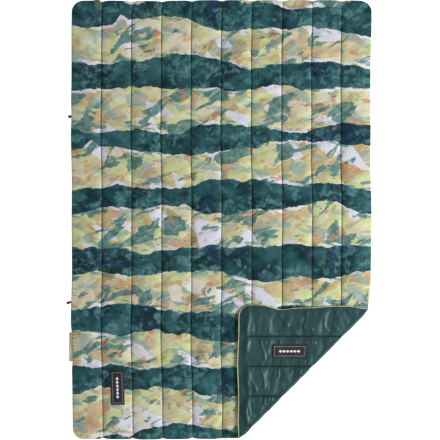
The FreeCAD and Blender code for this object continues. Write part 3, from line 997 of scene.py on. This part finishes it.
def quilt():
    face = panel_piece("face_cloth", main_grid(0.0047), face_height, in_panel, FACE_CLOTH,
                       False, (bulge,))
    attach(face, "main")
    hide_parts("face_shell", *[f"channel_fill_{k:02d}" for k in range(1, CHANNELS + 1)])
    below = panel_piece("lining_cloth", main_grid(0.009), lining_height, in_panel, LINING_CLOTH,
                        True)
    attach(below, "main")
    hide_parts("lining_shell")

    def corner_face(u, v):
        return face_height(u, v, on_corner=True)

    turned = panel_piece("face_cloth_corner", corner_grid(0.0045), corner_face, in_fold, FACE_CLOTH,
                         False, (bulge, edge_wave))
    weld(turned, 0.0002)
    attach(turned, "corner")
    fills = [f"channel_fill_{k:02d}_corner" for k in range(6, CHANNELS + 1)]
    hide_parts("face_shell_corner", *fills)
    flap = panel_piece("lining_cloth_corner", corner_grid(0.0026, 0.0030), flap_height, in_fold,
                       LINING_CLOTH, True, (edge_wave, over_piping))
    weld(flap, 0.0002)
    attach(flap, "corner")
    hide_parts("lining_shell_corner")
    return face, below, turned, flap


def fold_places():
    """Panel places along the fold line, close together where seams cross it."""
    u = column_places(FOLD - CLOTH_V, CLOTH_U, 0.004)
    return u, u - FOLD


def turns_with_corner(piece):
    """Bakes a piece's placement into its points."""
    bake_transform(piece)


def across_fold(name, low, high, reach, nose, rows, material, nodes):
    """A strip round the fold, from the part that lies down to the part that is turned over.

    Its two halves rise and fall by reach. Their rows keep clear of the hinge's own height, so the
    strip lies hidden under the face once the corner is open."""
    u, v = fold_places()
    angle = np.linspace(-math.pi / 2, math.pi / 2, rows)[:, None]
    rise = reach * (1 - np.abs(np.sin(angle)))
    z = np.where(angle < 0, low + rise, high - rise)
    out = nose * np.cos(angle)
    points = in_panel(u + 0 * z, v + 0 * z, z)
    points = points + out[..., None] * np.array(OUTWARD)
    along = (angle / math.pi) * FOLD_CLOTH
    flat = np.stack([u + along, v - along], -1)
    strip = finished(name, points, grid_faces(rows, len(u)), flat, material)
    turns_with_corner(strip)
    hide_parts(*nodes)
    return strip


def fold():
    u, v = fold_places()
    pinch = 1 - 0.30 * bell(seam_distance(u) / 0.010)
    ends = 0.2 + 0.8 * ease(edge_distance(u, v) / 0.03)
    waver = 1 + 0.10 * np.sin(u * 90 + 2 * np.sin(u * 37))
    nose = NOSE * pinch * ends * waver
    low, high = lining_height(u, v), 2 * HINGE.z - flap_height(u, v)
    reach = np.maximum(0.72 * face_height(u, v) - low, 0)
    across_fold("lining_cloth_fold", low, high, reach, nose, 14, HIGHLIT_FOLD_LINING,
                ("lining_shell_fold", "insulation_fold"))
    low, high = face_height(u, v), 2 * HINGE.z - face_height(u, v)
    across_fold("face_cloth_fold", low, high, 0 * u, 0 * u, 2, FACE_CLOTH,
                ("face_shell_fold",))


# ---------------------------------------------------------------- piping and stitches


def heading(path):
    """The unit way ahead at each point of a path."""
    ahead = np.gradient(path, axis=0)
    return ahead / np.linalg.norm(ahead, axis=1)[:, None]


def run_length(path):
    """How far along a path each of its points is."""
    return np.concatenate([[0], np.cumsum(np.linalg.norm(np.diff(path, axis=0), axis=1))])


def tube(name, path, radius, material):
    """A round cord along a path of points."""
    path = np.array(path)
    ahead = heading(path)
    up = np.tile([0.0, 0.0, 1.0], (len(path), 1))
    steep = np.abs(ahead[:, 2]) > 0.8
    up[steep] = (-OUTWARD.x, -OUTWARD.y, 0)
    side = np.cross(ahead, up)
    side /= np.linalg.norm(side, axis=1)[:, None]
    up = np.cross(side, ahead)
    turn = np.linspace(0, 2 * math.pi, TUBE_SIDES, endpoint=False)
    ring = np.cos(turn)[None, :, None] * side[:, None] + np.sin(turn)[None, :, None] * up[:, None]
    points = path[:, None] + radius * ring
    flat = np.stack(np.broadcast_arrays(run_length(path)[:, None], radius * turn[None, :]), -1)
    faces = grid_faces(len(path), TUBE_SIDES, ring=True)
    return closed(finished(name, points, faces, flat, material), TUBE_SIDES)


def piping_outline():
    """Panel places along the middle of the piping, once round, starting at the middle of the top."""
    a, b, r = HALF_W - PIPE_INSET, HALF_L - PIPE_INSET, PIPE_ROUND
    corners = ((a, b, 0), (-a, b, 90), (-a, -b, 180), (a, -b, 270))
    path = []
    for x, y, start in corners:
        cx, cy = x - math.copysign(r, x), y - math.copysign(r, y)
        for turn in np.radians(np.linspace(start, start + 90, 19)):
            path.append((cx + r * math.cos(turn), cy + r * math.sin(turn)))
    path.append(path[0])
    path = np.array(path)
    length = run_length(path)
    even = np.arange(0, length[-1], PIPE_STEP)
    return np.stack([np.interp(even, length, path[:, i]) for i in (0, 1)], -1)


def piping():
    lime = yarn("piping", colour(186, 194, 126), colour(226, 228, 178), 0.0012, 0.7, 0.1)
    path = piping_outline()
    beyond = path[:, 0] - path[:, 1] > FOLD
    first = int(np.argmax(~beyond & np.roll(beyond, 1)))
    path, beyond = np.roll(path, -first, axis=0), np.roll(beyond, -first)
    a, b = HALF_W - PIPE_INSET, HALF_L - PIPE_INSET
    ends = np.array([[a, a - FOLD], [FOLD - b, -b]])
    main_path, corner_path = path[~beyond], path[beyond]
    if np.hypot(*(main_path[0] - ends[0])) > np.hypot(*(main_path[0] - ends[1])):
        ends = ends[::-1]
    main_path = np.concatenate([ends[:1], main_path, ends[1:]])
    corner_path = np.concatenate([ends[1:], corner_path, ends[:1]])
    u, v = main_path.T
    long_one = tube("piping_main", in_panel(u, v, np.full(len(u), SEAM_Z)), PIPE_RADIUS, lime)
    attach(long_one, "main")
    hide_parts("edge_piping")
    u, v = corner_path.T
    height = SEAM_Z + droop(u, v)
    du, dv = edge_wave(u, v)
    short_one = tube("piping_corner", in_fold(u + du, v + dv, height), PIPE_RADIUS, lime)
    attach(short_one, "corner")
    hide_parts("edge_piping_corner")
    for number, (u, v) in enumerate(ends, 1):
        height = np.array([SEAM_Z, SEAM_Z + PIPE_TURN_RISE])
        height = np.append(height, 2 * HINGE.z - height[::-1])
        out = np.array([0, PIPE_TURN_OUT, PIPE_TURN_OUT, 0])
        path = in_panel(u + 0 * height, v + 0 * height, height)
        path = path + out[:, None] * np.array(OUTWARD)
        turn = tube(f"piping_fold_{number}", path, PIPE_RADIUS, lime)
        turns_with_corner(turn)
        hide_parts("edge_piping_fold")


STITCH = 0.0027
STITCH_GAP = 0.0009
STITCH_RADIUS = 0.00035
# One stitch's rings: share of its length, share of its radius, and rise in radii.
STITCH_RINGS = ((0, 0.45, -0.9), (0.18, 1, 0.1), (0.5, 1, 0.3), (0.82, 1, 0.1), (1, 0.45, -0.9))


def stitches(name, starts, ends, lift, radius, material):
    """Short rounded threads from each start to its end; lift is the way they stand out."""
    starts, ends = np.array(starts), np.array(ends)
    ahead = ends - starts
    length = np.linalg.norm(ahead, axis=1)[:, None]
    ahead = ahead / length
    up = np.broadcast_to(np.array(lift, float), ahead.shape)
    side = np.cross(ahead, up)
    side /= np.linalg.norm(side, axis=1)[:, None]
    rings = []
    for share, width, rise in STITCH_RINGS:
        middle = starts + ahead * length * share + up * rise * radius
        ring = [middle + radius * width * s for s in (side, up, -side, -up)]
        rings.append(np.stack(ring, 1))
    points = np.stack(rings, 1)
    each = points.shape[1] * 4
    one = grid_faces(points.shape[1], 4, ring=True).tolist()
    one.append([3, 2, 1, 0])
    one.append([each - 4, each - 3, each - 2, each - 1])
    faces = (np.array(one)[None] + each * np.arange(len(starts))[:, None, None]).reshape(-1, 4)
    share = np.array(STITCH_RINGS)[:, 0]
    along = length[:, :, None] * share[None, :, None] + 0.01 * np.arange(len(starts))[:, None, None]
    around = radius * np.array([0, 1.5, 3, 4.5])[None, None, :]
    flat = np.stack(np.broadcast_arrays(along, around), -1)
    return finished(name, points, faces, flat, material)



def seam_runs(on_corner):
    """Start and end v of each seam's row of stitches, with its u."""
    for k in range(1, CHANNELS):
        u = -HALF_W + k * CHANNEL
        line = u - FOLD
        low = -CLOTH_V + SEAM_END
        if on_corner:
            if line > low + 0.01:
                yield u, low, line - 0.004
        else:
            yield u, max(low, line + 0.004), CLOTH_V - SEAM_END


def quilting():
    green = yarn("thread", colour(20, 40, 42), colour(44, 78, 78), 0.0009, 0.55, 0.1)
    sides = (
        ("quilting_face", False, lambda u, v: face_height(u, v), in_panel, 1, "main"),
        ("quilting_lining", False, lining_height, in_panel, -1, "main"),
        ("quilting_face_corner", True, lambda u, v: face_height(u, v, True), in_fold, 1, "corner"),
        ("quilting_lining_corner", True, flap_height, in_fold, -1, "corner"),
    )
    for name, on_corner, height, place, way, body in sides:
        starts, ends = [], []
        for u, low, high in seam_runs(on_corner):
            v = np.arange(low, high - STITCH, STITCH + STITCH_GAP)
            for row, out in ((v, starts), (v + STITCH, ends)):
                across = np.full(len(row), u)
                z = height(across, row) + way * 0.6 * STITCH_RADIUS
                out.append(place(across, row, z))
        lift = (0, 0, way if place is in_panel else -way)
        row = stitches(name, np.concatenate(starts), np.concatenate(ends), lift,
                       STITCH_RADIUS, green)
        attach(row, body)
        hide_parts("quilting_thread_corner" if on_corner else "quilting_thread")


# ---------------------------------------------------------------- labels


def soft_height(height, u, v):
    """The surface as a stiffer label bridges it: averaged over a few centimetres."""
    reach = np.linspace(-0.012, 0.012, 5)
    return sum(height(u + a, v + b) for a in reach for b in reach) / 25


def tilted(middle, along, across, tilt):
    """The panel places that lie along and across a patch that is turned by tilt degrees."""
    turn = math.radians(tilt)
    u = middle[0] + across * math.cos(turn) - along * math.sin(turn)
    v = middle[1] + across * math.sin(turn) + along * math.cos(turn)
    return u, v


def patch(name, middle, half, tilt, height, place, way, thick, material, slot, cells):
    """A flat woven piece sewn onto the quilt, closed, with its own flat places from its middle."""
    rows, columns = cells
    along = np.linspace(-half[0], half[0], rows)[:, None] + np.zeros(columns)
    across = np.zeros((rows, 1)) + np.linspace(-half[1], half[1], columns)
    u, v = tilted(middle, along, across, tilt)
    edge = np.minimum(half[0] - np.abs(along), half[1] - np.abs(across))
    crown_up = 0.0004 * np.sin(along * 90 + across * 60) * ease(edge / 0.006)
    z = soft_height(height, u, v) + way * (0.0007 + crown_up)
    top = place(u, v, z + way * thick * (0.3 + 0.7 * ease(edge / 0.0012)))
    under = place(u, v, z - way * 0.001)
    index = np.arange(rows * columns).reshape(rows, columns)
    rim = np.concatenate([index[0, :-1], index[:-1, -1], index[-1, :0:-1], index[:0:-1, 0]])
    nxt = np.roll(rim, -1)
    base = rows * columns
    up = grid_faces(rows, columns)
    down = grid_faces(rows, columns, flip=True) + base
    wall = np.stack([rim, rim + base, nxt + base, nxt], -1)
    faces = np.concatenate([up, down, wall])
    points = np.concatenate([top.reshape(-1, 3), under.reshape(-1, 3)])
    flat = np.stack([along, across], -1).reshape(-1, 2)
    return closed(finished(name, points, faces, np.concatenate([flat, flat]), material))


def round_stitches(name, middle, half, tilt, inset, surface, place, way, material, length=0.0024):
    """A rectangle of stitches just inside a patch's edge."""
    a, b = half[0] - inset, half[1] - inset
    corners = [(-a, -b), (a, -b), (a, b), (-a, b), (-a, -b)]
    starts, ends = [], []
    for (x0, y0), (x1, y1) in zip(corners, corners[1:]):
        run = math.hypot(x1 - x0, y1 - y0)
        count = int(run / (length + STITCH_GAP))
        for i in range(count):
            for share, out in (((i + 0.12) / count, starts), ((i + 0.88) / count, ends)):
                along, across = x0 + (x1 - x0) * share, y0 + (y1 - y0) * share
                out.append(tilted(middle, along, across, tilt))
    rows = []
    for out in (starts, ends):
        u, v = np.array(out).T
        rows.append(place(u, v, soft_height(surface, u, v) + way * 0.0017))
    lift = (0, 0, way if place is in_panel else -way)
    return stitches(name, rows[0], rows[1], lift, LABEL_STITCH_RADIUS, material)


FACE_LABEL_TILT = 1.0
LABEL_THICK = 0.0008
PATCH_THICK = 0.0004
PATCHES_SHARE = 0.917  # of the two patches' box, the rest being the gap between them
LABEL_STITCH_RADIUS = 0.00028


def labels():
    black = yarn("label_thread", colour(12, 12, 14), colour(38, 38, 44), 0.0008, 0.6, 0.1)
    tonal = yarn("lining_thread", colour(70, 104, 102), colour(112, 146, 142), 0.0008, 0.5, 0.2)
    jobs = (
        ("face_label", face_height, in_panel, 1, "main", FACE_LABEL_TILT),
        ("lining_label", flap_height, in_fold, -1, "corner", 0.0),
    )
    for node, height, place, way, body, tilt in jobs:
        u, v, half_length, half_width = label_place(node)
        cloth = woven_label(half_length, half_width)
        half = (half_length, half_width)
        piece = patch(f"woven_{node}", (u, v), half, tilt, height, place, way, LABEL_THICK,
                      cloth, "woven_label", (60, 26))
        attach(piece, body)
        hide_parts(node)
        row = round_stitches(f"{node}_stitches", (u, v), half, tilt, 0.0025, height, place, way,
                             black)
        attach(row, body)
        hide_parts(f"{node}_thread")
    low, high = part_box("tonal_patches")
    middle_u = (low.y + high.y) / 2 - CENTRE_Y + FOLD
    half = ((high.x - low.x) / 4 * PATCHES_SHARE, (high.y - low.y) / 2)
    for side, name in ((-1, "left"), (1, "right")):
        middle_v = (low.x + high.x) / 2 - CENTRE_X - FOLD + side * ((high.x - low.x) / 2 - half[0])
        piece = patch(f"tonal_patch_{name}", (middle_u, middle_v), half, 0, flap_height, in_fold, -1,
                      PATCH_THICK, LINING_CLOTH, "lining", (28, 12))
        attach(piece, "corner")
        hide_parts("tonal_patches")
        row = round_stitches(f"tonal_patch_{name}_stitches", (middle_u, middle_v), half, 0, 0.0018,
                             flap_height, in_fold, -1, tonal, 0.0020)
        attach(row, "corner")


# ---------------------------------------------------------------- loops


def ribbon(name, path, across, widths, thick, material):
    """Tape along a path; across is the way its width runs, and widths are half widths on the path."""
    path, across = np.array(path), np.array(across) / np.linalg.norm(across)
    up = np.cross(heading(path), across)
    rim = ((-1, -0.6), (-0.985, 0), (-1, 0.6), (-0.94, 1), (-0.5, 1), (0, 1), (0.5, 1), (0.94, 1))
    section = np.concatenate([rim, -np.array(rim)])
    wide = section[:, 0][None, :, None] * np.array(widths)[:, None, None] * across
    points = path[:, None] + wide + section[:, 1][None, :, None] * up[:, None] * thick / 2
    length = run_length(path)
    along = length[:, None] - length[-1] / 2
    flat = np.stack(np.broadcast_arrays(along, section[:, 0] * max(widths)), -1)
    faces = grid_faces(len(path), len(section), ring=True)
    return closed(finished(name, points, faces, flat, material), len(section))


def loop_path(root, out, reach, opening, inside, steps_each=14):
    """Out from the seam, round the end and back: a flattened teardrop seen from the side."""
    root, out = Vector(root), Vector(out).normalized()
    up = Vector((0, 0, 1))
    radius = opening / 2
    points = []
    for share in np.linspace(0, 1, steps_each):
        along = -inside + (reach - radius + inside) * share
        rise = radius * (0.35 + 0.65 * ease(share * 1.4))
        points.append(root + out * along + up * rise)
    for turn in np.linspace(0, math.pi, 11)[1:-1]:
        points.append(root + out * (reach - radius + radius * math.sin(turn))
                      + up * radius * math.cos(turn))
    back = [p.copy() for p in points[:steps_each][::-1]]
    for p in back:
        p.z = 2 * root.z - p.z
    return np.array([tuple(p) for p in points + back])


def tape_loop(node, material, out, across, width, inside, opening, neck=1.0):
    """A short loop of tape, sewn in at its root."""
    low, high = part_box(node)
    pivot = Vector(JOINTS[f"{node}_swing"]["pos_m"])
    out = Vector(out).normalized()
    corners = [Vector((x, y, pivot.z)) for x in (low.x, high.x) for y in (low.y, high.y)]
    if abs(out.x) > abs(out.y):
        reach = (abs(corners[0].x - pivot.x) - abs(out.y) * width / 2) / abs(out.x)
    else:
        reach = abs(high.y - pivot.y)
    path = loop_path(pivot, out, reach, opening, inside)
    distance = np.abs((path - np.array(pivot)) @ np.array(out))
    widths = width / 2 * (neck + (1 - neck) * ease(distance / (reach * 0.55)))
    piece = ribbon(node, path, across, widths, TAPE_THICK, material)
    piece.name = f"{node}_tape"
    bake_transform(piece)
    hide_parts(node)
    return piece


LOWER_LOOP_SLANT = 16
LOWER_LOOP_WIDTH = 0.011
OLIVE_TAPE = tape("olive_tape", colour(66, 74, 54), colour(112, 120, 92), 0.0016)


def loops():
    black = tape("black_tape", colour(10, 10, 11), colour(34, 34, 36), 0.0012)
    low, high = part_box("hang_loop")
    tape_loop("hang_loop", OLIVE_TAPE, (0, 1, 0), (1, 0, 0), high.x - low.x, 0.002, 0.0030)
    low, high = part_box("side_loop_upper")
    tape_loop("side_loop_upper", black, (-1, 0, 0), (0, 1, 0), high.y - low.y,
              0.003, 0.0030, 0.85)
    slant = math.radians(LOWER_LOOP_SLANT)
    tape_loop("side_loop_lower", black, (-math.cos(slant), -math.sin(slant), 0),
              (-math.sin(slant), math.cos(slant), 0), LOWER_LOOP_WIDTH, 0.003, 0.0030, 0.8)


def hang_loop_foot():
    """The hang loop's sewn end, which comes up round the edge and lies on the face."""
    low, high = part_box("hang_loop")
    half = (high.x - low.x) / 2
    inside = steps(0, 2, 4, 6, 8, 11, 14, 17, 20, 23)
    u = np.full(len(inside), (low.x + high.x) / 2 - CENTRE_X)
    v = CLOTH_V - inside
    height = face_height(u, v)
    out = v + bulge(u, v)[1]
    share = ease(inside / 0.010)
    out = out + 0.0016 * (1 - share)
    height = height + 0.0004 + 0.0012 * share
    foot = ribbon("hang_loop_foot", in_panel(u, out, height), (1, 0, 0), np.full(len(u), half),
                  TAPE_THICK, OLIVE_TAPE)
    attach(foot, "main")


CARE_LABEL_BROWN = 0.0042
CARE_LABEL_THICK = 0.0004


def care_label():
    low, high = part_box("care_label")
    pivot = Vector(JOINTS["care_label_swing"]["pos_m"])
    reach = pivot.x - low.x
    cloth = care_cloth(CARE_LABEL_BROWN)
    path = loop_path(pivot, (-1, 0, 0), reach, 0.0012, 0.009, 10)
    half = (high.y - low.y) / 2
    piece = ribbon("care_label_tape", path, (0, 1, 0), np.full(len(path), half), CARE_LABEL_THICK,
                   cloth)
    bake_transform(piece)
    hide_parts("care_label")


# ---------------------------------------------------------------- studio


FLOOR_GAP = 0.0004
CAMERA_HEIGHT = 12.0
CAMERA_COVERS = 1.885


def studio():
    """A white floor, soft white light with its key on the right, and a camera straight above."""
    mesh = bpy.data.meshes.new("floor")
    half = 12.0
    corners = [(-half, -half, 0), (half, -half, 0), (half, half, 0), (-half, half, 0)]
    mesh.from_pydata(corners, [], [(0, 1, 2, 3)])
    mesh.materials.append(studio_floor())
    floor = placed("floor", mesh)
    floor.location.z = -FLOOR_GAP

    world = bpy.data.worlds.new("studio")
    world.use_nodes = True
    sky = world.node_tree.nodes["Background"].inputs
    sky["Color"].default_value = (1, 1, 1, 1)
    sky["Strength"].default_value = 0.38
    bpy.context.scene.world = world

    def lamp(name, place, size, power):
        """A soft square lamp that looks at the origin."""
        data = bpy.data.lights.new(name, "AREA")
        data.shape = "RECTANGLE"
        data.size, data.size_y = size
        data.energy = power
        thing = placed(name, data)
        thing.location = place
        thing.rotation_euler = (-Vector(place)).to_track_quat("-Z", "Y").to_euler()

    lamp("key", (4.9, -1.2, 3.17), (1.2, 2.4), 355)
    lamp("fill", (-2.5, 2.5, 4.0), (3.0, 3.0), 6)

    data = bpy.data.cameras.new("camera")
    data.sensor_width = 36.0
    data.clip_end = 60
    data.lens = data.sensor_width * CAMERA_HEIGHT / CAMERA_COVERS
    camera = placed("camera", data)
    camera.location = (CENTRE_X - 0.0050, CENTRE_Y - 0.0009, CAMERA_HEIGHT)
    bpy.context.scene.camera = camera
    bpy.context.scene.view_settings.view_transform = "Standard"


# ---------------------------------------------------------------- everything

studio()
face, below, turned, flap = quilt()
fold()
piping()
quilting()
labels()
loops()
hang_loop_foot()
care_label()
